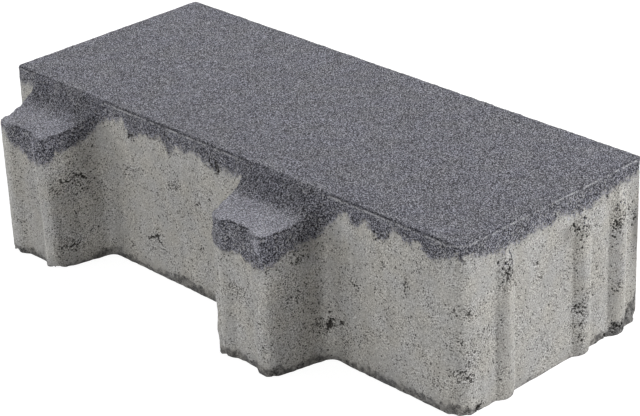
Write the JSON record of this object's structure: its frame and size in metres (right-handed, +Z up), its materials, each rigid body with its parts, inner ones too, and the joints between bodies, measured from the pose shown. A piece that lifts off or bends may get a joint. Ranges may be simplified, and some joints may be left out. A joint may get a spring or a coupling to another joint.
{
  "type": "concrete paving stone",
  "caption": "Long pressed-concrete paving stone with fluted spacer lugs on one long side, which hold open a wide draining joint, and low round spacer ribs on its end faces.",
  "frame": {"origin": "middle of the whole stone's box, lugs and ribs included, on the bed face", "axes": "+X along the stone, towards the end that the second lug is farther from; -Y out of the front face, where the lugs are; +Z up out of the wearing face"},
  "size_m": [0.295, 0.145, 0.08],
  "materials": {
    "concrete": "matte pressed concrete: open grey body with a darker, finer face mix on the wearing face"
  },
  "bodies": {
    "root": {"paving_stone": "concrete"}
  },
  "joints": []
}
